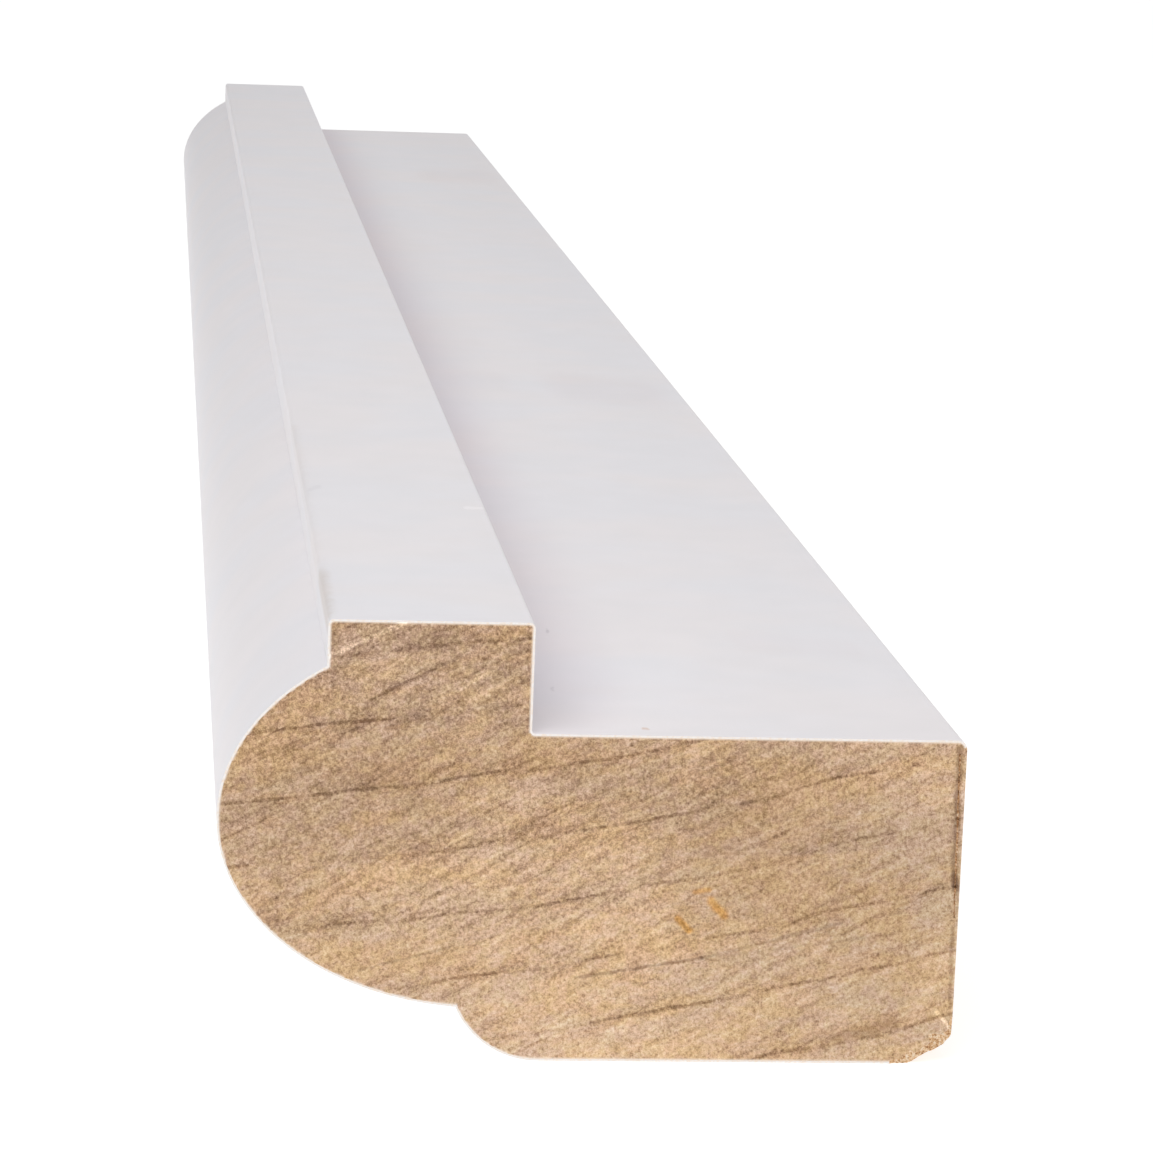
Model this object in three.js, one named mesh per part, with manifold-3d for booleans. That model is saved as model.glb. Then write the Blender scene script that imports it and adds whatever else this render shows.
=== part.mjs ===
// A straight length of light rail moulding, milled from one piece of solid wood.
//
// Seen from the sawn end: a thick tongue runs out to the bare fixing edge, a raised lip stands beside
// the rabbet above it, a big rounded bead bulges out past the lip, and a small ovolo leads from under
// the bead down to the flat underside.
//
// Millimetres, +Z up. The length runs along Y, the fixing edge faces +X and the bead faces -X.
// The origin is the middle of the underside, and the moulding lies on that flat underside.

import * as THREE from 'three';
import { ConvexGeometry } from 'three/addons/geometries/ConvexGeometry.js';
import { mergeVertices } from 'three/addons/utils/BufferGeometryUtils.js';
import Module from 'manifold-3d';

// Overall sizes: the length, from the bead's nose to the fixing edge, and from underside to lip
const LENGTH = 305;
const WIDTH = 31.75;
const HEIGHT = 19.05;

// The rabbet along the fixing edge
const RABBET_WIDTH = 18.6;
const RABBET_DEPTH = 4.76;
const RABBET_FILLET = 0.15;

// The lip stands back from the bead's nose and up from the bead's back
const LIP_SETBACK = 4.47;
const LIP_STEP = 2.0;
const LIP_EASE = 0.25;

// The bead is part of an ellipse: its centre stands this far in from its nose
const BEAD_REACH = 11.475;
const BEAD_SEGMENTS = 20;

// The quirk is the sharp inner corner under the bead, where the ovolo starts
const QUIRK_SETBACK = 10.3;
const OVOLO_WIDTH = 3.6;
const OVOLO_HEIGHT = 2.35;
const OVOLO_SEGMENTS = 8;

// The two eased arrises of the fixing edge
const TONGUE_EASE = 0.4;
const UNDERSIDE_EASE = 0.2;
const EASE_SEGMENTS = 4;

// What the saw tore out of the near end at the foot of the fixing edge: two flat-faced flakes
const CHIP_FLAKES = [
  { width: 1.7, height: 0.9, length: 9 },
  { width: 0.75, height: 1.15, length: 5 },
];
const CUT_MARGIN = 0.05;

// Lines of the section that more than one feature uses
const noseX = -WIDTH / 2;
const edgeX = WIDTH / 2;
const lipX = noseX + LIP_SETBACK;
const wallX = edgeX - RABBET_WIDTH;
const quirkX = noseX + QUIRK_SETBACK;
const floorZ = HEIGHT - RABBET_DEPTH;
const beadTopZ = HEIGHT - LIP_STEP;

// Points of an elliptical arc in the section, both ends included
function arcPoints(centre, radius, from, to, segments) {
  const points = [];
  for (let i = 0; i <= segments; i += 1) {
    const angle = from + ((to - from) * i) / segments;
    const x = centre.x + radius.x * Math.cos(angle);
    const z = centre.y + radius.y * Math.sin(angle);
    points.push(new THREE.Vector2(x, z));
  }
  return points;
}

// A quarter round of one radius, swept from one right angle to the next
function quarterPoints(x, z, radius, fromQuarter, toQuarter) {
  const right = Math.PI / 2;
  const centre = new THREE.Vector2(x, z);
  const radii = new THREE.Vector2(radius, radius);
  return arcPoints(centre, radii, fromQuarter * right, toQuarter * right, EASE_SEGMENTS);
}

// The bead, from the foot of the lip round the nose to the quirk. The ellipse passes through both
// ends, and its nose is a corner of the outline, so that the full width is kept.
function beadPoints() {
  const centreX = noseX + BEAD_REACH;
  const topAngle = Math.acos((lipX - centreX) / BEAD_REACH);
  const lowAngle = Math.acos((quirkX - centreX) / BEAD_REACH);
  const rise = (beadTopZ - OVOLO_HEIGHT) / (Math.sin(topAngle) + Math.sin(lowAngle));
  const centre = new THREE.Vector2(centreX, OVOLO_HEIGHT + rise * Math.sin(lowAngle));
  const radii = new THREE.Vector2(BEAD_REACH, rise);
  return [
    ...arcPoints(centre, radii, topAngle, Math.PI, BEAD_SEGMENTS),
    ...arcPoints(centre, radii, Math.PI, 2 * Math.PI - lowAngle, BEAD_SEGMENTS).slice(1),
  ];
}

// The ovolo, from the quirk down to the underside, which it meets level
function ovoloPoints() {
  const radius = (OVOLO_WIDTH ** 2 + OVOLO_HEIGHT ** 2) / (2 * OVOLO_HEIGHT);
  const centre = new THREE.Vector2(quirkX + OVOLO_WIDTH, radius);
  const radii = new THREE.Vector2(radius, radius);
  const quirkAngle = Math.atan2(radius - OVOLO_HEIGHT, OVOLO_WIDTH) - Math.PI;
  return arcPoints(centre, radii, quirkAngle, -Math.PI / 2, OVOLO_SEGMENTS);
}

// The whole section, anticlockwise as seen from the near end, with X to the right and Z up
function sectionShape() {
  return new THREE.Shape([
    ...quarterPoints(edgeX - UNDERSIDE_EASE, UNDERSIDE_EASE, UNDERSIDE_EASE, -1, 0),
    ...quarterPoints(edgeX - TONGUE_EASE, floorZ - TONGUE_EASE, TONGUE_EASE, 0, 1),
    ...quarterPoints(wallX + RABBET_FILLET, floorZ + RABBET_FILLET, RABBET_FILLET, -1, -2),
    ...quarterPoints(wallX - LIP_EASE, HEIGHT - LIP_EASE, LIP_EASE, 0, 1),
    ...quarterPoints(lipX + LIP_EASE, HEIGHT - LIP_EASE, LIP_EASE, 1, 2),
    ...beadPoints(),
    ...ovoloPoints().slice(1),
  ]);
}

// The section run out along Y, with its middle at the origin
function barGeometry() {
  const geometry = new THREE.ExtrudeGeometry(sectionShape(), { depth: LENGTH, bevelEnabled: false });
  geometry.rotateX(Math.PI / 2);
  geometry.translate(0, LENGTH / 2, 0);
  return geometry;
}

// One flake: a flat cut across the near end's lower corner. The cutter is the corner that the cut
// takes off, drawn a margin outside the wood, with its three edges lengthened to keep the same cut.
function flakeGeometry({ width, height, length }) {
  const reach = 1 + CUT_MARGIN * (1 / width + 1 / height + 1 / length);
  const corner = new THREE.Vector3(edgeX + CUT_MARGIN, -LENGTH / 2 - CUT_MARGIN, -CUT_MARGIN);
  return new ConvexGeometry([
    corner,
    corner.clone().add(new THREE.Vector3(-reach * width, 0, 0)),
    corner.clone().add(new THREE.Vector3(0, reach * length, 0)),
    corner.clone().add(new THREE.Vector3(0, 0, reach * height)),
  ]);
}

// A closed geometry as a solid that can be cut
function solidOf(wasm, geometry) {
  geometry.deleteAttribute('normal');
  geometry.deleteAttribute('uv');
  const merged = mergeVertices(geometry, 1e-5);
  const vertProperties = new Float32Array(merged.attributes.position.array);
  const triVerts = new Uint32Array(merged.index.array);
  return new wasm.Manifold(new wasm.Mesh({ numProp: 3, vertProperties, triVerts }));
}

// A solid back as a geometry
function geometryOf(solid) {
  const mesh = solid.getMesh();
  const geometry = new THREE.BufferGeometry();
  geometry.setAttribute('position', new THREE.BufferAttribute(mesh.vertProperties, 3));
  geometry.setIndex(new THREE.BufferAttribute(mesh.triVerts, 1));
  geometry.computeVertexNormals();
  return geometry;
}

// The bar with its flakes torn off
async function mouldingGeometry() {
  const wasm = await Module();
  wasm.setup();
  let solid = solidOf(wasm, barGeometry());
  for (const flake of CHIP_FLAKES) {
    solid = solid.subtract(solidOf(wasm, flakeGeometry(flake)));
  }
  return geometryOf(solid);
}

const paintedWood = new THREE.MeshStandardMaterial({ color: 0xe4e2e6, roughness: 0.45, metalness: 0 });

const moulding = new THREE.Mesh(await mouldingGeometry(), paintedWood);
moulding.name = 'moulding';

const part = new THREE.Group();
part.add(moulding);

export default part;
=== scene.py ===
"""A length of light rail moulding: painted solid wood, sawn square, lying on its flat underside.

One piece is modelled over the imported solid: blocks and rollers are joined and milled to the section,
the arrises are eased, the ends are sawn and roughened, and a splinter is torn out of the near end.
Its faces carry satin paint outside and bare wood where the saw and the planer went through.
"""

import math

import bmesh
import bpy
from mathutils import Matrix, Vector


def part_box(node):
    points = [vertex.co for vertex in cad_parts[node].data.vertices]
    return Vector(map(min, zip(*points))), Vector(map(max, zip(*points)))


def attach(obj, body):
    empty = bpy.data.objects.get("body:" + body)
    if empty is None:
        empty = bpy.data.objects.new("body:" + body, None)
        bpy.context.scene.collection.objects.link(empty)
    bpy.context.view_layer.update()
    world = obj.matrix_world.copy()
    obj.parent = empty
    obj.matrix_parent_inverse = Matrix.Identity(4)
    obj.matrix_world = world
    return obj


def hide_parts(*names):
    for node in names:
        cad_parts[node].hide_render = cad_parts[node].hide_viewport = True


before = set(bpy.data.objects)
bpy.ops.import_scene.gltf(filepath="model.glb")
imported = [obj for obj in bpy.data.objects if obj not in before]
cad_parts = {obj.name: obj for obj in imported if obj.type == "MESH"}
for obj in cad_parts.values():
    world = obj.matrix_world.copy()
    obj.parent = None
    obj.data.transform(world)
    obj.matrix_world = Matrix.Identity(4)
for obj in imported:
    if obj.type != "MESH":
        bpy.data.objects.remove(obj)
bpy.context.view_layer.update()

MM = 0.001

# The section, as the solid has it
LOW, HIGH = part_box("moulding")
NOSE_X = LOW.x
EDGE_X = HIGH.x
NEAR_Y = LOW.y
FAR_Y = HIGH.y
TOP_Z = HIGH.z
RABBET_WIDTH = 18.6 * MM
RABBET_DEPTH = 4.76 * MM
RABBET_FILLET = 0.15 * MM
LIP_SETBACK = 4.47 * MM
LIP_STEP = 2.0 * MM
LIP_EASE = 0.25 * MM
BEAD_REACH = 11.475 * MM
QUIRK_SETBACK = 10.3 * MM
OVOLO_WIDTH = 3.6 * MM
OVOLO_HEIGHT = 2.35 * MM
TONGUE_EASE = 0.4 * MM
UNDERSIDE_EASE = 0.2 * MM

LIP_X = NOSE_X + LIP_SETBACK
WALL_X = EDGE_X - RABBET_WIDTH
QUIRK_X = NOSE_X + QUIRK_SETBACK
OVOLO_X = QUIRK_X + OVOLO_WIDTH
FLOOR_Z = TOP_Z - RABBET_DEPTH
BEAD_TOP_Z = TOP_Z - LIP_STEP

# How finely the rounds are cut, and how far the stock stands out past the bar before it is trimmed
BEAD_SIDES = 160
OVOLO_SIDES = 96
EASE_SEGMENTS = 5
SPARE = 2 * MM

# The sawn ends: how thick the coat shows, the smooth rim inside it, and the relief of the end grain
COAT = 0.085 * MM
RIM = 0.2 * MM
SAW_GRID = 0.3 * MM
SAW_LUMPS = 0.7 * MM
SAW_GRAINS = 0.25 * MM
SAW_RELIEF = 0.05 * MM

# The flakes torn off the near end at the foot of the fixing edge, as the solid has them
CHIP_FLAKES = (
    {"width": 1.7 * MM, "height": 0.9 * MM, "length": 9 * MM},
    {"width": 0.75 * MM, "height": 1.15 * MM, "length": 5 * MM},
)
# Above them the saw also tore the face of the end grain, less than half a millimetre deep
TORN_FACE = {"width": 2.05 * MM, "height": 1.5 * MM, "length": 0.35 * MM}
CHIP_ROUGHNESS = 0.2 * MM
CHIP_FIBRE = 0.3 * MM
FIBRE_STRETCH = 5
CHIP_BLOCK = 14 * MM
CHIP_CUTS = 90

# The split along the fixing edge that the saw opened in the near end
SPLIT_TOP_INSET = 0.3 * MM
SPLIT_FOOT_INSET = 0.16 * MM
SPLIT_WIDTH = 0.17 * MM
SPLIT_DEPTH = 0.1 * MM
SPLIT_FOOT = 6.5 * MM
SPLIT_TOP = 13.7 * MM
SPLIT_WANDER = 0.08 * MM
SPLIT_BENDS = 1.2 * MM
SPLIT_CUTS = 60

# The wood's own pattern, in millimetres: its pith lies far above the left of the section. Rings and
# grains run on along the fibres, so they change more slowly along the length by the shares given.
PITH = (-28, 0, 167)
FIRST_RING = 153.5
RING_SPACING = 2.86
AGE_SPAN = (146.0, 172.0)
RING_LINE = 0.12
FAINT_LINE = 0.25
BAND_INSIDE = 1.3
BAND_OUTSIDE = 0.35
RING_WANDER = 1.1
RING_ALONG = 0.03
GRAIN_ALONG = 0.06
RING_ANGLE = math.radians(11)
STREAK_ANGLE = math.radians(31)
RAY_ANGLE = math.radians(27)

# How a pattern is stretched once it is turned to its own slant
STREAK_STRETCH = (0.4, 0.4, 3.0)
RAY_STRETCH = (0.13, 0.13, 3.2)
BLOTCH_STRETCH = (0.1, 0.1, 0.32)

# Scales of the noises, per millimetre: the larger, the finer
WANDER_SCALE = 0.16
STRETCH_SCALE = 0.3
DASH_SCALE = 3.5
PATCH_SCALE = 0.2
GRAIN_SCALE = 7.5
CLUMP_SCALE = 1.6
PORE_SCALE = 1.9
SPECK_SCALE = 1.8
WOBBLE_SCALE = 1.3
MOTTLE_SCALE = 0.09
CLOUD_SCALE = 0.4
TOOTH_SCALE = 2.2

# How far each pattern can raise or lower the wood's tone, whose middle is 0.5
MIDDLE_TONE = 0.5
GRAIN_WEIGHT = 1.4
CLUMP_WEIGHT = 0.26
AGE_WEIGHT = 0.24
AGE_DROP = 0.14
PORE_WEIGHT = -0.16
BAND_WEIGHT = -0.1
LINE_WEIGHT = -0.27
STREAK_WEIGHT = 0.72
RAY_WEIGHT = -0.15
BLOTCH_WEIGHT = 0.19

# Depths of the finishes' bumps
END_GRAIN_BUMP = 0.06 * MM
PLANED_BUMP = 0.03 * MM
TORN_BUMP = 0.1 * MM
PAINT_BUMP = 0.012 * MM
CUT_COAT_BUMP = 0.02 * MM

# Colours of the wood, from its dark pores to its pale fibres, and of the rim next to the coat
WOOD_TONES = (
    (0.0, (0.215, 0.122, 0.066)),
    (0.35, (0.485, 0.318, 0.185)),
    (0.5, (0.64, 0.44, 0.273)),
    (0.7, (0.775, 0.57, 0.373)),
    (1.0, (0.95, 0.79, 0.58)),
)
TORN_TONES = (
    (0.2, (0.12, 0.05, 0.02)),
    (0.44, (0.46, 0.24, 0.11)),
    (0.58, (0.72, 0.46, 0.25)),
    (0.85, (0.93, 0.78, 0.60)),
)
EDGE_CREAM = (0.90, 0.77, 0.65, 1)

# Tints that multiply the sawn wood's colour: the first two in broad blotches, the others in specks
GREY_TINT = (0.955, 0.95, 1.01, 1)
GOLDEN_TINT = (1.02, 0.967, 0.885, 1)
ROSY_GRAIN = (1.012, 0.99, 1.04, 1)
YELLOW_GRAIN = (0.995, 1.0, 0.945, 1)

# Colours of the coat
COOL_WHITE = (0.868, 0.85, 0.882, 1)
ROSY_WHITE = (0.89, 0.852, 0.868, 1)
CUT_WHITE = (0.85, 0.815, 0.79, 1)
CUT_CREAM = (0.84, 0.73, 0.63, 1)

# Tints of the marks, which multiply what lies under them
GUM = (1.0, 0.78, 0.4)
PALE_FIBRE = (1.6, 1.75, 1.85)
CRACK = (0.4, 0.34, 0.3)
SHADOW_FIBRE = (0.6, 0.52, 0.46)
SPLINTER = (1.05, 1.15, 1.3)
# The next two tints are painted shade: the grey one darkens broad zones of the end grain, the dusky one
# those and the paint beside the rabbet wall
GREY_PAINTED_SHADE = (0.80, 0.79, 0.785)
DUSKY_PAINTED_SHADE = (0.90, 0.895, 0.895)
COOL_ZONE = (1.0, 1.03, 1.1)
BARE_BEIGE = (0.80, 0.75, 0.69)
TAN_SPECK = (0.75, 0.5, 0.32)
GREY_SPECK = (0.7, 0.68, 0.7)
BRIGHT_SCRATCH = (1.1, 1.1, 1.1)
WARM_SMEAR = (0.95, 0.9, 0.89)
# Rosy painted shade, for the paint along the foot of the rabbet wall
ROSY_SHADE = (0.91, 0.86, 0.885)

# Marks, in millimetres: from, to, width, tint, strength. Those of the end grain lie in the near end,
# so their places are (x, z). Those of the paint are drawn out along Y.
GRAIN_WANDER = 0.25
PAINT_WANDER = 0.35
RUBBED_LENGTH = 4
STROKE_CORE = 0.12
NEAR_END_MM = NEAR_Y / MM
FAR_END_MM = FAR_Y / MM
END_GRAIN_MARKS = (
    # The grey and dusky marks among the first six are broad painted shade: they darken the end grain
    # towards its left and right sides, below the foot of the rabbet wall and along its foot on the right
    ((7.5, 9.5), (12.5, 7.5), 13.0, GREY_PAINTED_SHADE, 0.9),
    ((-13.0, 10.8), (-8.0, 12.3), 10.0, GREY_PAINTED_SHADE, 0.55),
    ((-3.3, 14.0), (2.0, 12.0), 4.5, DUSKY_PAINTED_SHADE, 1.0),
    ((6.0, 3.0), (14.5, 0.8), 7.0, DUSKY_PAINTED_SHADE, 0.95),
    ((-10.0, 16.3), (-4.5, 16.3), 6.0, COOL_ZONE, 1.0),
    ((-13.0, 6.3), (-7.5, 4.0), 6.0, DUSKY_PAINTED_SHADE, 0.6),
    ((-11.5, 17.35), (-8.2, 19.0), 0.36, PALE_FIBRE, 0.8),
    ((-5.94, 16.03), (-4.87, 16.74), 0.22, PALE_FIBRE, 0.4),
    ((-0.5, 3.67), (4.92, 4.6), 0.24, CRACK, 0.65),
    ((4.92, 4.6), (10.85, 6.21), 0.26, CRACK, 0.4),
    ((4.92, 4.6), (13.5, 5.8), 0.24, CRACK, 0.25),
    ((-9.7, 3.9), (-5.93, 4.92), 0.22, CRACK, 0.5),
    ((4.5, 7.5), (5.1, 7.6), 0.4, GUM, 0.7),
    ((5.2, 7.1), (5.75, 6.5), 0.65, GUM, 0.95),
    ((3.8, 6.3), (4.35, 5.8), 0.5, GUM, 0.95),
    ((4.0, 6.1), (4.2, 5.9), 0.22, CRACK, 0.5),
    ((10.9, 1.1), (13.4, 1.8), 0.8, SHADOW_FIBRE, 0.55),
    # The next two dark lines follow the split by the fixing edge and run on below it: partly dark torn
    # fibres, partly painted shade of the split
    ((15.6, 8.5), (15.7, 7.7), 0.4, CRACK, 0.8),
    ((15.66, 6.0), (15.72, 2.6), 0.3, CRACK, 0.45),
    ((15.2, 2.3), (15.75, 1.65), 0.28, PALE_FIBRE, 0.9),
    ((15.78, 1.85), (15.82, 1.75), 0.3, CRACK, 0.9),
    ((15.82, 13.6), (15.86, 1.6), 0.2, SPLINTER, 0.6),
    # A dark line down the split: partly dark torn fibres, partly painted shade inside the split
    ((15.55, 13.9), (15.62, 8.0), 0.42, CRACK, 0.75),
)
LIP_MM = LIP_X / MM
TOP_MM = TOP_Z / MM
FLOOR_MM = FLOOR_Z / MM
# The real shade at the foot of the rabbet wall is strengthened by painted shade, whose strokes lie round
# two lines inside the wood
SHADE_X = WALL_X / MM + 1
SHADE_Z = FLOOR_MM - 2
DUSK_X = SHADE_X + 1
DUSK_Z = FLOOR_MM - 3
PAINT_MARKS = (
    ((LIP_MM, NEAR_END_MM, 18.6), (LIP_MM, -100.0, 18.8), 1.2, BARE_BEIGE, 0.25),
    ((LIP_MM, NEAR_END_MM + 2, 18.7), (LIP_MM, NEAR_END_MM + 10, 18.8), 1.3, BARE_BEIGE, 0.65),
    # The next four strokes are painted shade on the rabbet floor along the foot of the wall: rosy close to
    # it, dusky and wider further out
    ((SHADE_X, NEAR_END_MM + 13, SHADE_Z), (SHADE_X, FAR_END_MM, SHADE_Z), 11.0, ROSY_SHADE, 0.7),
    ((SHADE_X, -80.0, SHADE_Z), (SHADE_X, FAR_END_MM, SHADE_Z), 9.0, ROSY_SHADE, 0.25),
    ((DUSK_X, -115.0, DUSK_Z), (DUSK_X, FAR_END_MM, DUSK_Z), 17.0, DUSKY_PAINTED_SHADE, 0.4),
    ((DUSK_X, -25.0, DUSK_Z), (DUSK_X, FAR_END_MM, DUSK_Z), 14.0, DUSKY_PAINTED_SHADE, 0.5),
    ((9.0, 100.0, FLOOR_MM), (13.5, 101.0, FLOOR_MM), 5.5, WARM_SMEAR, 0.3),
    ((1.5, -46.0, FLOOR_MM), (3.5, -46.0, FLOOR_MM), 3.5, WARM_SMEAR, 0.25),
    ((8.5, -48.0, FLOOR_MM), (13.0, -50.5, FLOOR_MM), 5.0, WARM_SMEAR, 0.35),
    ((8.9, -131.7, FLOOR_MM), (13.8, -133.6, FLOOR_MM), 1.8, WARM_SMEAR, 0.2),
    ((-11.1, -120.0, TOP_MM), (-10.6, -119.0, TOP_MM), 0.4, GREY_SPECK, 0.18),
    ((-3.77, -124.3, TOP_MM), (-2.9, -124.2, TOP_MM), 0.2, BRIGHT_SCRATCH, 0.8),
    ((2.17, -151.0, FLOOR_MM), (2.3, -151.1, FLOOR_MM), 0.24, TAN_SPECK, 0.5),
    ((-1.05, -143.6, FLOOR_MM), (-1.0, -143.2, FLOOR_MM), 0.22, GREY_SPECK, 0.4),
    ((-0.2, -130.7, FLOOR_MM), (-0.15, -130.2, FLOOR_MM), 0.25, GREY_SPECK, 0.6),
)

# The view, fitted to the photograph: angles in degrees, lens and sensor in millimetres
CAMERA_PLACE = Vector((-18.92 * MM, NEAR_Y - 175.46 * MM, 53.84 * MM))
CAMERA_HEADING = 5.80
CAMERA_PITCH = -10.53
CAMERA_ROLL = 2.185
CAMERA_LENS = 133.95
CAMERA_SENSOR = 36
CAMERA_CLIP = 0.01

# The studio: brightness of the room, of the floor and of the one lamp, with sizes in metres
SKY_SEEN = 1.2
SKY_LIGHT = 0.64
SKY_FLAG = 0.6
FLAG_EDGE = (-0.4, -0.9)
FLOOR_SIZE = 12
FLOOR_WHITE = 0.5
FLOOR_GLOW = 0.7
KEY_PLACE = Vector((-0.23, -0.45, 0.5))
KEY_SIZE = 0.5
KEY_POWER = 2.0

SMOOTH_ANGLE = math.radians(32)
FLAT_ANGLE = math.radians(0.05)
MERGE = 1e-7
NEARLY = 0.01 * MM
# A face looks along an axis where that part of its normal is more than this
ALONG = 0.99

# Places in the bar's list of materials
PAINT, END_GRAIN, CUT_COAT, PLANED_EDGE, TORN_WOOD = range(5)


def choose(obj):
    """Makes obj the only selected object, and the active one."""
    bpy.ops.object.select_all(action="DESELECT")
    obj.select_set(True)
    bpy.context.view_layer.objects.active = obj


def apply_modifiers(obj):
    choose(obj)
    for modifier in list(obj.modifiers):
        bpy.ops.object.modifier_apply(modifier=modifier.name)


def block(name, low, high):
    """A cuboid between two corners, with its place in its mesh."""
    low, high = Vector(low), Vector(high)
    bpy.ops.object.select_all(action="DESELECT")
    bpy.ops.mesh.primitive_cube_add(size=1, location=(low + high) / 2, scale=high - low)
    obj = bpy.context.object
    obj.name = name
    bpy.ops.object.transform_apply(location=True, rotation=True, scale=True)
    return obj


def roller(name, centre_x, centre_z, radius_x, radius_z, low_y, high_y, sides):
    """A round or oval bar lying along Y."""
    bpy.ops.object.select_all(action="DESELECT")
    bpy.ops.mesh.primitive_cylinder_add(
        vertices=sides,
        radius=1,
        depth=high_y - low_y,
        location=(centre_x, (low_y + high_y) / 2, centre_z),
        rotation=(math.pi / 2, 0, 0),
    )
    obj = bpy.context.object
    obj.name = name
    obj.scale = (radius_x, radius_z, 1)
    bpy.ops.object.transform_apply(location=True, rotation=True, scale=True)
    return obj


def combine(body, tool, operation):
    """Joins tool to body or cuts it out, and removes tool."""
    step = body.modifiers.new(operation.lower(), "BOOLEAN")
    step.operation = operation
    step.solver = "EXACT"
    step.material_mode = "INDEX"
    step.object = tool
    apply_modifiers(body)
    bpy.data.objects.remove(tool)


def pick_faces(obj, test):
    """In edit mode: selects the faces whose centre and normal pass the test, and nothing else."""
    bpy.ops.mesh.select_mode(type="FACE")
    bpy.ops.mesh.select_all(action="DESELECT")
    mesh = bmesh.from_edit_mesh(obj.data)
    for face in mesh.faces:
        if test(face.calc_center_median(), face.normal):
            face.select_set(True)
    bmesh.update_edit_mesh(obj.data)


def pick_arris(obj, x, z):
    """In edit mode: selects the long edges that run along Y at this place of the section."""
    bpy.ops.mesh.select_mode(type="EDGE")
    bpy.ops.mesh.select_all(action="DESELECT")
    mesh = bmesh.from_edit_mesh(obj.data)
    for edge in mesh.edges:
        ends = [vert.co for vert in edge.verts]
        if all(math.hypot(co.x - x, co.z - z) < NEARLY for co in ends):
            edge.select_set(True)
    bmesh.update_edit_mesh(obj.data)


def finish_picked(obj, material_index):
    """In edit mode: gives the selected faces one of the object's materials."""
    mesh = bmesh.from_edit_mesh(obj.data)
    for face in mesh.faces:
        if face.select:
            face.material_index = material_index
    bmesh.update_edit_mesh(obj.data)


def trim(place, normal):
    """In edit mode: cuts off what lies beyond a plane and closes the cut with one face."""
    bpy.ops.mesh.select_all(action="SELECT")
    bpy.ops.mesh.bisect(
        plane_co=place, plane_no=normal, use_fill=True, clear_outer=True, threshold=MERGE
    )


def roughen(obj, group, direction, relief, grain, name):
    """Pushes a group of vertices along one axis by up to relief, in lumps about grain across."""
    clouds = bpy.data.textures.new(name, "CLOUDS")
    clouds.noise_scale = grain
    clouds.noise_depth = 2
    step = obj.modifiers.new(name, "DISPLACE")
    step.texture = clouds
    step.texture_coords = "LOCAL"
    step.vertex_group = group
    step.direction = direction
    step.mid_level = 0
    step.strength = relief
    apply_modifiers(obj)


def bead_ellipse():
    """(centre x, centre z, half width, half height) of the bead, through the lip's foot and the quirk."""
    centre_x = NOSE_X + BEAD_REACH
    top = math.sin(math.acos((LIP_X - centre_x) / BEAD_REACH))
    low = math.sin(math.acos((QUIRK_X - centre_x) / BEAD_REACH))
    rise = (BEAD_TOP_Z - OVOLO_HEIGHT) / (top + low)
    return centre_x, OVOLO_HEIGHT + rise * low, BEAD_REACH, rise


def milled_bar():
    """The bar with its whole section, cut square at both ends, its arrises still sharp."""
    start, stop = NEAR_Y - SPARE, FAR_Y + SPARE
    centre_x, centre_z, reach, rise = bead_ellipse()
    ovolo_radius = (OVOLO_WIDTH**2 + OVOLO_HEIGHT**2) / (2 * OVOLO_HEIGHT)
    bar = roller("light_rail", centre_x, centre_z, reach, rise, start, stop, BEAD_SIDES)
    tongue = block("tongue", (OVOLO_X, start, 0), (EDGE_X, stop, TOP_Z + SPARE))
    lip = block("lip", (LIP_X, start, centre_z), (WALL_X, stop, TOP_Z + 2 * SPARE))
    ovolo = roller("ovolo", OVOLO_X, ovolo_radius, ovolo_radius, ovolo_radius, start, stop, OVOLO_SIDES)
    for solid in (tongue, lip, ovolo):
        combine(bar, solid, "UNION")
    low = (WALL_X, start - SPARE, FLOOR_Z)
    high = (EDGE_X + SPARE, stop + SPARE, TOP_Z + 3 * SPARE)
    rabbet = block("rabbet", low, high)
    combine(bar, rabbet, "DIFFERENCE")
    choose(bar)
    bpy.ops.object.mode_set(mode="EDIT")
    trim((0, 0, TOP_Z), (0, 0, 1))
    trim((0, NEAR_Y, 0), (0, -1, 0))
    trim((0, FAR_Y, 0), (0, 1, 0))
    bpy.ops.mesh.select_all(action="SELECT")
    bpy.ops.mesh.remove_doubles(threshold=MERGE)
    bpy.ops.mesh.dissolve_limited(angle_limit=FLAT_ANGLE)
    bpy.ops.object.mode_set(mode="OBJECT")
    return bar


def ease_arrises(bar):
    """Rounds the long edges as the cutters and the sander left them."""
    arrises = (
        (LIP_X, TOP_Z, LIP_EASE),
        (WALL_X, TOP_Z, LIP_EASE),
        (WALL_X, FLOOR_Z, RABBET_FILLET),
        (EDGE_X, FLOOR_Z, TONGUE_EASE),
        (EDGE_X, 0, UNDERSIDE_EASE),
    )
    choose(bar)
    bpy.ops.object.mode_set(mode="EDIT")
    for x, z, ease in arrises:
        pick_arris(bar, x, z)
        bpy.ops.mesh.bevel(offset=ease, offset_type="OFFSET", segments=EASE_SEGMENTS, affect="EDGES")
    pick_faces(bar, lambda centre, normal: normal.x > ALONG and centre.x > EDGE_X - NEARLY)
    finish_picked(bar, PLANED_EDGE)
    bpy.ops.object.mode_set(mode="OBJECT")


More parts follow.
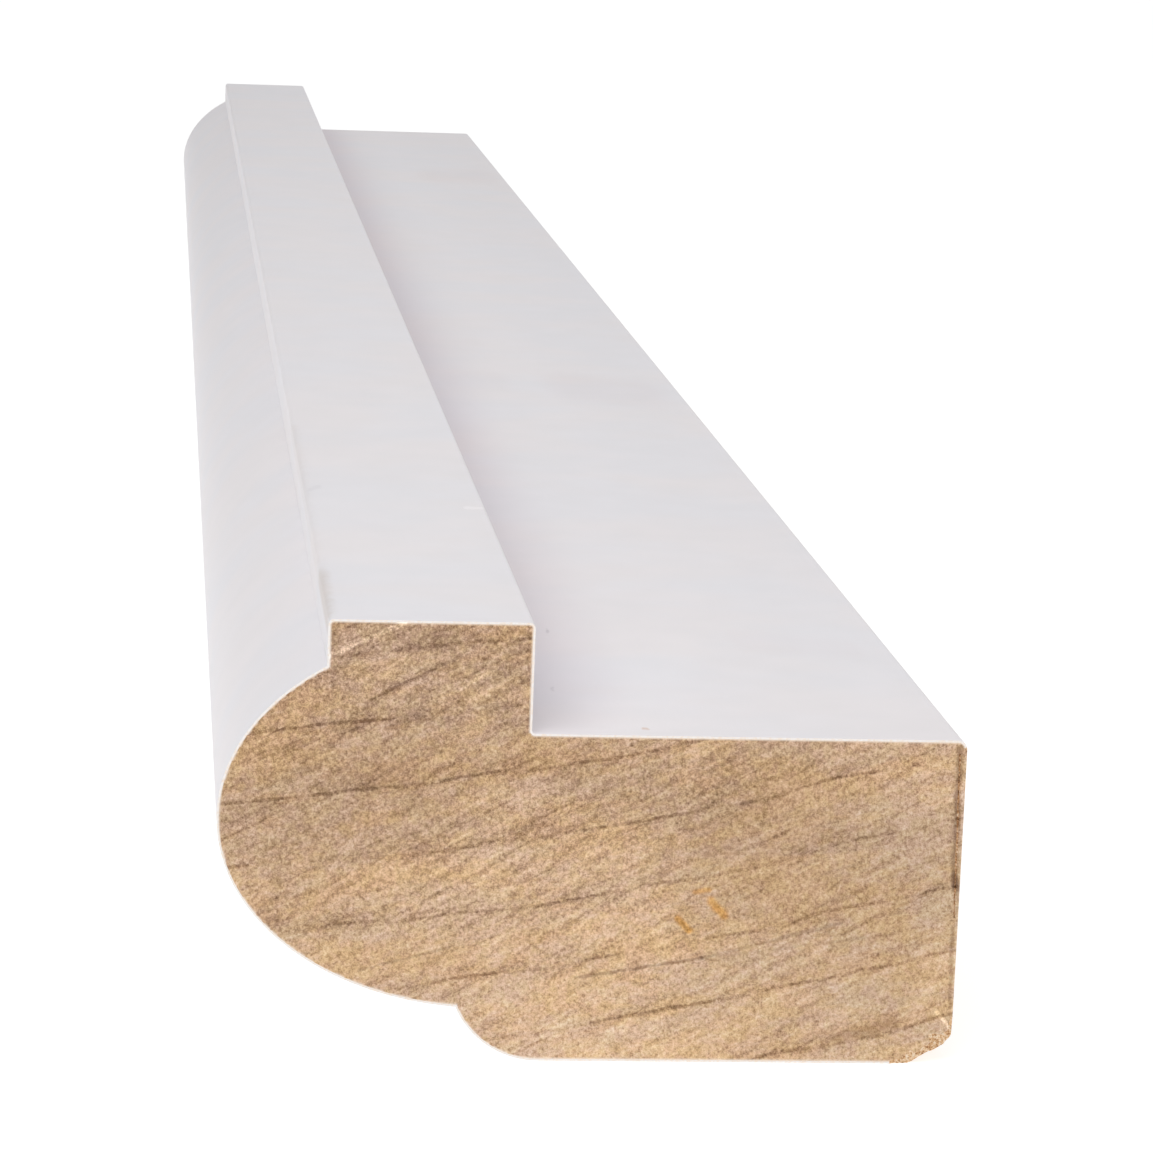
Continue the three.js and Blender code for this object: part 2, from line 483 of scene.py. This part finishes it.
def sawn_end(bar, end_y, name):
    """Shows the coat's cut edge round one end, and the end grain inside it as a fine, rough grid."""
    bare = bar.vertex_groups.new(name=name + " bare")
    relief = bar.vertex_groups.new(name=name + " relief")
    choose(bar)
    bpy.ops.object.mode_set(mode="EDIT")

    def at_end(centre, normal):
        return abs(normal.y) > ALONG and abs(centre.y - end_y) < NEARLY

    pick_faces(bar, at_end)
    finish_picked(bar, CUT_COAT)
    bpy.ops.mesh.inset(thickness=COAT, use_even_offset=True)
    finish_picked(bar, END_GRAIN)
    bar.vertex_groups.active = bare
    bpy.ops.object.vertex_group_assign()
    bpy.ops.mesh.inset(thickness=RIM, use_even_offset=True)
    bar.vertex_groups.active = relief
    bpy.ops.object.vertex_group_assign()
    bar.vertex_groups.active = bare
    bpy.ops.object.vertex_group_assign()
    for axis, low, high in ((0, NOSE_X, EDGE_X), (2, 0, TOP_Z)):
        normal = Vector((0, 0, 0))
        normal[axis] = 1
        count = round((high - low) / SAW_GRID)
        for i in range(1, count):
            place = Vector((0, end_y, 0))
            place[axis] = low + (high - low) * i / count
            bpy.ops.mesh.select_all(action="DESELECT")
            bpy.ops.object.vertex_group_select()
            bpy.ops.mesh.bisect(plane_co=place, plane_no=normal, threshold=MERGE)
    pick_faces(bar, lambda centre, normal: at_end(centre, normal) and centre.x > EDGE_X - COAT)
    finish_picked(bar, END_GRAIN)
    bpy.ops.object.mode_set(mode="OBJECT")
    inwards = -math.copysign(SAW_RELIEF, end_y)
    roughen(bar, relief.name, "Y", inwards, SAW_LUMPS, name + " lumps")
    roughen(bar, relief.name, "Y", inwards, SAW_GRAINS, name + " grains")


def take_finish(cutter, body, material_index):
    """Gives a cutter the body's list of materials and one of them all over, for the faces it leaves."""
    for material in body.data.materials:
        cutter.data.materials.append(material)
    for polygon in cutter.data.polygons:
        polygon.material_index = material_index


def flake_cutter(flake, name):
    """A block that takes off all beyond a flake's slanted plane and leaves long, torn fibres."""
    plane_normal = Vector((-1 / flake["width"], 1 / flake["length"], 1 / flake["height"])).normalized()
    along = (Vector((0, 1, 0)) - plane_normal * plane_normal.y).normalized()
    corner = Vector((EDGE_X, NEAR_Y, 0))
    reaches = (
        Vector((-flake["width"], 0, 0)),
        Vector((0, flake["length"], 0)),
        Vector((0, 0, flake["height"])),
    )
    middle = corner + sum(reaches, Vector()) / 3
    half = CHIP_BLOCK / 2
    squeezed = half / FIBRE_STRETCH
    cutter = block(name, (-half, -squeezed, -CHIP_BLOCK), (half, squeezed, 0))
    torn = cutter.vertex_groups.new(name="torn")
    choose(cutter)
    bpy.ops.object.mode_set(mode="EDIT")
    pick_faces(cutter, lambda centre, normal: normal.z > ALONG)
    bpy.ops.mesh.subdivide(number_cuts=CHIP_CUTS)
    pick_faces(cutter, lambda centre, normal: normal.z > ALONG)
    bpy.ops.object.vertex_group_assign()
    bpy.ops.object.mode_set(mode="OBJECT")
    roughen(cutter, torn.name, "Z", CHIP_ROUGHNESS, CHIP_FIBRE, name + " fibres")
    across = along.cross(plane_normal)
    turned = Matrix((across, along * FIBRE_STRETCH, plane_normal)).transposed().to_4x4()
    cutter.matrix_world = Matrix.Translation(middle) @ turned
    choose(cutter)
    bpy.ops.object.transform_apply(location=True, rotation=True, scale=True)
    return cutter


def split_cutter():
    """A thin wandering blade, the shape of the split beside the fixing edge."""
    low = (-SPLIT_WIDTH / 2, NEAR_Y - SPLIT_DEPTH, SPLIT_FOOT)
    high = (SPLIT_WIDTH / 2, NEAR_Y + SPLIT_DEPTH, SPLIT_TOP)
    blade = block("split", low, high)
    whole = blade.vertex_groups.new(name="whole")
    outer = blade.vertex_groups.new(name="outer side")
    choose(blade)
    bpy.ops.object.mode_set(mode="EDIT")
    bpy.ops.mesh.select_mode(type="EDGE")
    bpy.ops.mesh.select_all(action="DESELECT")
    mesh = bmesh.from_edit_mesh(blade.data)
    for edge in mesh.edges:
        edge.select_set(abs(edge.verts[0].co.z - edge.verts[1].co.z) > NEARLY)
    bmesh.update_edit_mesh(blade.data)
    bpy.ops.mesh.subdivide(number_cuts=SPLIT_CUTS)
    bpy.ops.mesh.select_all(action="SELECT")
    blade.vertex_groups.active = whole
    bpy.ops.object.vertex_group_assign()
    pick_faces(blade, lambda centre, normal: normal.x > ALONG)
    blade.vertex_groups.active = outer
    bpy.ops.object.vertex_group_assign()
    bpy.ops.object.mode_set(mode="OBJECT")
    roughen(blade, whole.name, "X", SPLIT_WANDER, SPLIT_BENDS, "split bends")
    roughen(blade, outer.name, "X", -SPLIT_WIDTH, SPLIT_BENDS / 3, "split width")
    lean = math.atan((SPLIT_TOP_INSET - SPLIT_FOOT_INSET) / (SPLIT_TOP - SPLIT_FOOT))
    foot = Vector((0, 0, SPLIT_FOOT))
    place = Matrix.Translation(Vector((EDGE_X - SPLIT_FOOT_INSET, 0, SPLIT_FOOT)))
    blade.matrix_world = place @ Matrix.Rotation(-lean, 4, "Y") @ Matrix.Translation(-foot)
    choose(blade)
    bpy.ops.object.transform_apply(location=True, rotation=True, scale=True)
    return blade


def mark_rim(bar):
    """Stores 1 where the bare end grain meets the cut coat, and 0 elsewhere."""
    rim = bar.data.attributes.new("rim", "FLOAT", "POINT")
    for polygon in bar.data.polygons:
        if polygon.material_index == CUT_COAT:
            for vertex in polygon.vertices:
                rim.data[vertex].value = 1


def build_moulding(materials):
    """The whole piece, from milling to the damage that it shows."""
    bar = milled_bar()
    for material in materials:
        bar.data.materials.append(material)
    ease_arrises(bar)
    sawn_end(bar, NEAR_Y, "near end")
    sawn_end(bar, FAR_Y, "far end")
    for number, flake in enumerate((*CHIP_FLAKES, TORN_FACE)):
        cutter = flake_cutter(flake, f"flake_{number}")
        take_finish(cutter, bar, TORN_WOOD)
        combine(bar, cutter, "DIFFERENCE")
    blade = split_cutter()
    take_finish(blade, bar, TORN_WOOD)
    combine(bar, blade, "DIFFERENCE")
    mark_rim(bar)
    choose(bar)
    bpy.ops.object.shade_smooth_by_angle(angle=SMOOTH_ANGLE)
    return bar


def node(tree, kind, inputs=None, **settings):
    """A new node. inputs gives, by name or number, a socket's value or the output that feeds it."""
    added = tree.nodes.new("ShaderNode" + kind)
    for setting, value in settings.items():
        setattr(added, setting, value)
    for socket, value in (inputs or {}).items():
        if isinstance(value, bpy.types.NodeSocket):
            tree.links.new(value, added.inputs[socket])
        else:
            added.inputs[socket].default_value = value
    return added


def calc(tree, operation, *values):
    return node(tree, "Math", dict(enumerate(values)), operation=operation).outputs[0]


def vector_calc(tree, operation, *values):
    return node(tree, "VectorMath", dict(enumerate(values)), operation=operation).outputs[0]


def scaled(tree, vector, factor):
    return node(tree, "VectorMath", {0: vector, "Scale": factor}, operation="SCALE").outputs[0]


def length_of(tree, vector):
    return node(tree, "VectorMath", {0: vector}, operation="LENGTH").outputs["Value"]


def dot(tree, first, second):
    return node(tree, "VectorMath", {0: first, 1: second}, operation="DOT_PRODUCT").outputs["Value"]


def fade(tree, value, none_at, full_at):
    """0 where value is none_at and 1 where it is full_at, with a soft passage between them."""
    inputs = {"Value": value, "From Min": none_at, "From Max": full_at}
    return node(tree, "MapRange", inputs, interpolation_type="SMOOTHSTEP").outputs[0]


def noise(tree, position, scale, detail=2.0, roughness=0.5):
    inputs = {"Vector": position, "Scale": scale, "Detail": detail, "Roughness": roughness}
    return node(tree, "TexNoise", inputs).outputs[0]


def mixed(tree, factor, under, over, blend_type="MIX"):
    """One colour laid over another."""
    inputs = {0: factor, 6: under, 7: over}
    return node(tree, "Mix", inputs, data_type="RGBA", blend_type=blend_type).outputs[2]


def colour_ramp(tree, value, stops):
    """A ramp through (place, colour) stops."""
    ramp = node(tree, "ValToRGB", {0: value})
    elements = ramp.color_ramp.elements
    while len(elements) < len(stops):
        elements.new(0.5)
    for element, (place, colour) in zip(elements, stops):
        element.position = place
        element.color = (*colour, 1)
    return ramp.outputs[0]


def position_in_mm(tree):
    """Object coordinates, in millimetres."""
    coordinates = node(tree, "TexCoord").outputs["Object"]
    return node(tree, "Mapping", {"Vector": coordinates, "Scale": (1 / MM,) * 3}).outputs[0]


def new_group(name, inputs, outputs):
    """A node group with float or vector inputs, by their first values, and float outputs."""
    group = bpy.data.node_groups.new(name, "ShaderNodeTree")
    for title, value in inputs.items():
        kind = "NodeSocketFloat" if isinstance(value, float) else "NodeSocketVector"
        socket = group.interface.new_socket(name=title, in_out="INPUT", socket_type=kind)
        socket.default_value = value
    for title in outputs:
        group.interface.new_socket(name=title, in_out="OUTPUT", socket_type="NodeSocketFloat")
    return group, group.nodes.new("NodeGroupInput").outputs, group.nodes.new("NodeGroupOutput").inputs


def use(tree, group, inputs):
    """Places a group in a material and returns its outputs."""
    return node(tree, "Group", inputs, node_tree=group).outputs


def ring_group():
    """Growth rings about the far pith: thin broken lines, each with a dusky band on the pith's side.

    Age rises from 0 to 1 outwards, because the outer wood is paler.
    """
    tree, given, result = new_group("growth rings", {"Position": (0, 0, 0)}, ("Line", "Band", "Age"))
    position = given["Position"]
    along = vector_calc(tree, "MULTIPLY", position, (1, RING_ALONG, 1))
    in_section = vector_calc(tree, "MULTIPLY", position, (1, 0, 1))
    from_pith = vector_calc(tree, "SUBTRACT", in_section, PITH)
    radius = length_of(tree, from_pith)
    wander = calc(tree, "MULTIPLY_ADD", noise(tree, along, WANDER_SCALE), RING_WANDER, -RING_WANDER / 2)
    radius = calc(tree, "ADD", radius, wander)
    age = fade(tree, radius, *AGE_SPAN)
    tree.links.new(age, result["Age"])
    count = calc(tree, "DIVIDE", calc(tree, "SUBTRACT", radius, FIRST_RING), RING_SPACING)
    nearest = calc(tree, "ROUND", count)
    off = calc(tree, "MULTIPLY", calc(tree, "SUBTRACT", count, nearest), RING_SPACING)
    line = fade(tree, calc(tree, "ABSOLUTE", off), RING_LINE, RING_LINE / 6)
    ring_vector = node(tree, "CombineXYZ", {0: nearest}).outputs[0]
    own = node(tree, "TexWhiteNoise", {0: ring_vector}, noise_dimensions="3D").outputs[0]
    stretches = calc(tree, "MULTIPLY_ADD", own, 0.16, noise(tree, along, STRETCH_SCALE))
    strong = fade(tree, stretches, 0.44, 0.66)
    dashes = fade(tree, noise(tree, along, DASH_SCALE), 0.3, 0.46)
    broken = calc(tree, "MULTIPLY", calc(tree, "MULTIPLY_ADD", strong, 1 - FAINT_LINE, FAINT_LINE), dashes)
    tree.links.new(calc(tree, "MULTIPLY", line, broken), result["Line"])
    rising = fade(tree, off, -BAND_INSIDE, -0.05)
    falling = fade(tree, off, BAND_OUTSIDE, 0.0)
    band = calc(tree, "MINIMUM", rising, falling)
    patches = fade(tree, noise(tree, along, PATCH_SCALE), 0.38, 0.68)
    tree.links.new(calc(tree, "MULTIPLY", band, patches), result["Band"])
    return tree


def grain_group():
    """Loose grains and open pores, as fine specks across the fibres and as streaks along them."""
    tree, given, result = new_group(
        "grains and pores", {"Position": (0, 0, 0), "Size": 1.0}, ("Grain", "Clumps", "Pores")
    )
    spread = calc(tree, "DIVIDE", 1.0, given["Size"])
    along = vector_calc(tree, "MULTIPLY", given["Position"], (1, GRAIN_ALONG, 1))
    along = scaled(tree, along, spread)
    tree.links.new(noise(tree, along, GRAIN_SCALE, 2.0, 0.9), result["Grain"])
    tree.links.new(noise(tree, along, CLUMP_SCALE, 2.0, 0.6), result["Clumps"])
    cells = node(tree, "TexVoronoi", {"Vector": along, "Scale": PORE_SCALE}).outputs
    tube = fade(tree, cells["Distance"], 0.24, 0.1)
    open_tube = fade(tree, node(tree, "SeparateColor", {0: cells["Color"]}).outputs[0], 0.55, 0.8)
    tree.links.new(calc(tree, "MULTIPLY", tube, open_tube), result["Pores"])
    return tree


def stroke_group():
    """A mark along a straight line from one place to another."""
    inputs = {"Position": (0, 0, 0), "From": (0, 0, 0), "To": (1, 0, 0), "Width": 1.0}
    tree, given, result = new_group("stroke", inputs, ("Mask",))
    line = vector_calc(tree, "SUBTRACT", given["To"], given["From"])
    reach = vector_calc(tree, "SUBTRACT", given["Position"], given["From"])
    along = dot(tree, reach, line)
    whole = dot(tree, line, line)
    share = node(tree, "Clamp", {0: calc(tree, "DIVIDE", along, whole)}).outputs[0]
    nearest = scaled(tree, line, share)
    off = vector_calc(tree, "SUBTRACT", reach, nearest)
    distance = length_of(tree, off)
    half = calc(tree, "MULTIPLY", given["Width"], 0.5)
    core = calc(tree, "MULTIPLY", given["Width"], STROKE_CORE)
    tree.links.new(fade(tree, distance, half, core), result["Mask"])
    return tree


GROWTH_RINGS = ring_group()
GRAINS = grain_group()
STROKE = stroke_group()


def add_marks(tree, position, colour, marks, wander, drawn_out=1):
    """Tints a colour with marks: each is (from, to, width, tint, strength). Their edges wander.

    Each mark reaches drawn_out times as far along the length as across it.
    """
    squeeze = Vector((1, 1 / drawn_out, 1))
    inputs = {"Vector": position, "Scale": WOBBLE_SCALE, "Detail": 4.0, "Roughness": 0.6}
    wobble = node(tree, "TexNoise", inputs).outputs["Color"]
    wobble = vector_calc(tree, "SUBTRACT", wobble, (0.5, 0.5, 0.5))
    wobble = scaled(tree, wobble, wander)
    position = vector_calc(tree, "ADD", vector_calc(tree, "MULTIPLY", position, squeeze), wobble)
    for start, end, width, tint, strength in marks:
        line = {"From": Vector(start) * squeeze, "To": Vector(end) * squeeze}
        mask = use(tree, STROKE, {"Position": position, "Width": width, **line})["Mask"]
        colour = mixed(tree, calc(tree, "MULTIPLY", mask, strength), colour, (*tint, 1), "MULTIPLY")
    return colour


def new_material(name, **settings):
    """A material with a Principled BSDF whose plain sockets get the settings, and its parts."""
    material = bpy.data.materials.new(name)
    material.use_nodes = True
    tree = material.node_tree
    shader = tree.nodes["Principled BSDF"]
    for socket, value in settings.items():
        shader.inputs[socket.replace("_", " ")].default_value = value
    return material, tree, shader


def feed(tree, shader, colour, roughness, height, depth):
    """Joins a finish's colour, roughness and height to its shader. depth is in metres."""
    tree.links.new(colour, shader.inputs["Base Color"])
    tree.links.new(roughness, shader.inputs["Roughness"])
    bump = node(tree, "Bump", {"Height": height, "Distance": depth, "Strength": 1.0})
    tree.links.new(bump.outputs[0], shader.inputs["Normal"])


def add_pattern(tree, tone, pattern, weight):
    """Adds a pattern that runs from 0 to 1 to a tone, lighter above its middle and darker below."""
    return calc(tree, "ADD", tone, calc(tree, "MULTIPLY_ADD", pattern, weight, -weight / 2))


def wood_tone(tree, position, grain_size):
    """Light and dark of the wood, about its middle tone."""
    grains = use(tree, GRAINS, {"Position": position, "Size": grain_size})
    rings = use(tree, GROWTH_RINGS, {"Position": position})
    tone = add_pattern(tree, MIDDLE_TONE, grains["Grain"], GRAIN_WEIGHT)
    tone = add_pattern(tree, tone, grains["Clumps"], CLUMP_WEIGHT)
    tone = calc(tree, "ADD", tone, calc(tree, "MULTIPLY_ADD", rings["Age"], AGE_WEIGHT, -AGE_DROP))
    tone = calc(tree, "MULTIPLY_ADD", grains["Pores"], PORE_WEIGHT, tone)
    tone = calc(tree, "MULTIPLY_ADD", rings["Band"], BAND_WEIGHT, tone)
    return calc(tree, "MULTIPLY_ADD", rings["Line"], LINE_WEIGHT, tone)


def turned_about_length(tree, position, angle, stretch):
    """The position turned in the section, then stretched, for a pattern that slants upwards."""
    settings = {"Vector": position, "Angle": angle}
    turned = node(tree, "VectorRotate", settings, rotation_type="Y_AXIS").outputs[0]
    return vector_calc(tree, "MULTIPLY", turned, stretch)


def end_grain_material():
    """Sawn end grain: specks, ring lines, slanting fibre streaks, grey and golden blotches, and marks,
    some of them painted shade.
    """
    material, tree, shader = new_material("sawn end grain", Specular_IOR_Level=0.25)
    position = position_in_mm(tree)
    tone = wood_tone(tree, position, 1.0)
    streak_position = turned_about_length(tree, position, STREAK_ANGLE, STREAK_STRETCH)
    streaks = noise(tree, streak_position, 1.0, 3.0, 0.6)
    tone = add_pattern(tree, tone, streaks, STREAK_WEIGHT)
    ray_position = turned_about_length(tree, position, RAY_ANGLE, RAY_STRETCH)
    rays = fade(tree, noise(tree, ray_position, 1.0, 2.0, 0.6), 0.42, 0.3)
    dashes = fade(tree, noise(tree, streak_position, 1.6, 1.0), 0.3, 0.5)
    tone = calc(tree, "MULTIPLY_ADD", calc(tree, "MULTIPLY", rays, dashes), RAY_WEIGHT, tone)
    blotch_position = turned_about_length(tree, position, RING_ANGLE, BLOTCH_STRETCH)
    blotches = noise(tree, blotch_position, 1.0, 3.0, 0.6)
    tone = add_pattern(tree, tone, blotches, BLOTCH_WEIGHT)
    colour = colour_ramp(tree, tone, WOOD_TONES)
    golden = fade(tree, noise(tree, blotch_position, 1.5, 4.0, 0.8), 0.38, 0.62)
    colour = mixed(tree, 1.0, colour, mixed(tree, golden, GREY_TINT, GOLDEN_TINT), "MULTIPLY")
    rosy = fade(tree, noise(tree, position, SPECK_SCALE, 1.0, 0.7), 0.35, 0.65)
    colour = mixed(tree, 1.0, colour, mixed(tree, rosy, YELLOW_GRAIN, ROSY_GRAIN), "MULTIPLY")
    rim = node(tree, "Attribute", attribute_name="rim").outputs["Fac"]
    colour = mixed(tree, fade(tree, rim, 0.45, 1.15), colour, EDGE_CREAM)
    marks = [
        ((x, NEAR_END_MM, z), (end_x, NEAR_END_MM, end_z), *look)
        for (x, z), (end_x, end_z), *look in END_GRAIN_MARKS
    ]
    colour = add_marks(tree, position, colour, marks, GRAIN_WANDER)
    roughness = calc(tree, "MULTIPLY_ADD", tone, -0.15, 0.92)
    feed(tree, shader, colour, roughness, tone, END_GRAIN_BUMP)
    return material


def planed_edge_material():
    """The bare fixing edge: the same wood cut along its fibres."""
    material, tree, shader = new_material("planed edge", Specular_IOR_Level=0.3)
    position = position_in_mm(tree)
    tone = wood_tone(tree, position, 1.0)
    colour = colour_ramp(tree, tone, WOOD_TONES)
    roughness = calc(tree, "MULTIPLY_ADD", tone, -0.2, 0.75)
    feed(tree, shader, colour, roughness, tone, PLANED_BUMP)
    return material


def torn_wood_material():
    """Torn fibres in the chip and in the split: darker and redder than the sawn wood."""
    material, tree, shader = new_material("torn wood", Specular_IOR_Level=0.2)
    position = position_in_mm(tree)
    tone = wood_tone(tree, position, 1.2)
    colour = colour_ramp(tree, tone, TORN_TONES)
    roughness = calc(tree, "MULTIPLY_ADD", tone, -0.1, 0.95)
    feed(tree, shader, colour, roughness, tone, TORN_BUMP)
    return material


def paint_material():
    """Satin white paint with a faint cool and rosy mottle, a fine tooth, a few marks of handling, and
    painted shade along the foot of the rabbet wall.
    """
    material, tree, shader = new_material("satin paint", Specular_IOR_Level=0.4)
    position = position_in_mm(tree)
    mottle = fade(tree, noise(tree, position, MOTTLE_SCALE, 3.0), 0.35, 0.65)
    colour = mixed(tree, mottle, COOL_WHITE, ROSY_WHITE)
    cloud = noise(tree, position, CLOUD_SCALE, 3.0)
    shade = calc(tree, "MULTIPLY_ADD", cloud, 0.06, 0.97)
    colour = scaled(tree, colour, shade)
    colour = add_marks(tree, position, colour, PAINT_MARKS, PAINT_WANDER, RUBBED_LENGTH)
    tooth = noise(tree, position, TOOTH_SCALE, 3.0)
    fibres = use(tree, GRAINS, {"Position": position, "Size": 2.0})["Grain"]
    height = calc(tree, "MULTIPLY_ADD", fibres, 0.6, tooth)
    roughness = calc(tree, "MULTIPLY_ADD", cloud, 0.16, 0.38)
    feed(tree, shader, colour, roughness, height, PAINT_BUMP)
    return material


def cut_coat_material():
    """The sawn-through edge of the paint: a thin, bright, slightly ragged line round the end."""
    material, tree, shader = new_material("cut coat", Specular_IOR_Level=0.3)
    position = position_in_mm(tree)
    ragged = use(tree, GRAINS, {"Position": position, "Size": 1.6})["Grain"]
    colour = mixed(tree, fade(tree, ragged, 0.6, 0.3), CUT_WHITE, CUT_CREAM)
    roughness = calc(tree, "MULTIPLY_ADD", ragged, 0.2, 0.6)
    feed(tree, shader, colour, roughness, ragged, CUT_COAT_BUMP)
    return material


def soft_light(name, place, size, power):
    """A square soft box that points at the moulding's middle and doesn't show in the view."""
    light = bpy.data.lights.new(name, "AREA")
    light.size = size
    light.energy = power
    lamp = bpy.data.objects.new(name, light)
    lamp.location = place
    lamp.rotation_euler = (-place).to_track_quat("-Z", "Y").to_euler()
    lamp.visible_camera = False
    bpy.context.collection.objects.link(lamp)


def surroundings():
    """A white room: as bright as paper where the camera sees it, and a dimmer light, least on the left."""
    world = bpy.data.worlds.new("white room")
    world.use_nodes = True
    tree = world.node_tree
    background = tree.nodes["Background"]
    background.inputs["Color"].default_value = (1, 1, 1, 1)
    seen = node(tree, "LightPath").outputs["Is Camera Ray"]
    direction = node(tree, "TexCoord").outputs["Generated"]
    left = node(tree, "SeparateXYZ", {0: direction}).outputs["X"]
    light = calc(tree, "MULTIPLY_ADD", fade(tree, left, *FLAG_EDGE), -SKY_FLAG, SKY_LIGHT)
    strength = calc(tree, "MAXIMUM", calc(tree, "MULTIPLY", seen, SKY_SEEN), light)
    tree.links.new(strength, background.inputs["Strength"])
    bpy.context.scene.world = world


def lay_floor():
    bpy.ops.object.select_all(action="DESELECT")
    bpy.ops.mesh.primitive_plane_add(size=FLOOR_SIZE, location=(0, 0, 0))
    ground = bpy.context.object
    ground.name = "floor"
    material, tree, shader = new_material("white floor", Roughness=0.9, Specular_IOR_Level=0.1)
    shader.inputs["Base Color"].default_value = (FLOOR_WHITE,) * 3 + (1,)
    shader.inputs["Emission Color"].default_value = (1, 1, 1, 1)
    shader.inputs["Emission Strength"].default_value = FLOOR_GLOW
    ground.data.materials.append(material)


def set_camera():
    """The view of the photograph: low, close to the near end, and a little left of the nose."""
    heading, pitch, roll = (math.radians(angle) for angle in (CAMERA_HEADING, CAMERA_PITCH, CAMERA_ROLL))
    forward = Vector(
        (math.sin(heading) * math.cos(pitch), math.cos(heading) * math.cos(pitch), math.sin(pitch))
    )
    level_right = Vector((math.cos(heading), -math.sin(heading), 0))
    level_up = level_right.cross(forward)
    right = level_right * math.cos(roll) + level_up * math.sin(roll)
    up = right.cross(forward)
    lens = bpy.data.cameras.new("camera")
    lens.lens = CAMERA_LENS
    lens.sensor_width = CAMERA_SENSOR
    lens.clip_start = CAMERA_CLIP
    camera = bpy.data.objects.new("camera", lens)
    turned = Matrix((right, up, -forward)).transposed().to_4x4()
    camera.matrix_world = Matrix.Translation(CAMERA_PLACE) @ turned
    bpy.context.collection.objects.link(camera)
    bpy.context.scene.camera = camera


finishes = [
    paint_material(),
    end_grain_material(),
    cut_coat_material(),
    planed_edge_material(),
    torn_wood_material(),
]
bar = build_moulding(finishes)
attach(bar, "root")
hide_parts("moulding")

lay_floor()
surroundings()
soft_light("key", KEY_PLACE, KEY_SIZE, KEY_POWER)
set_camera()
bpy.context.scene.view_settings.view_transform = "Standard"
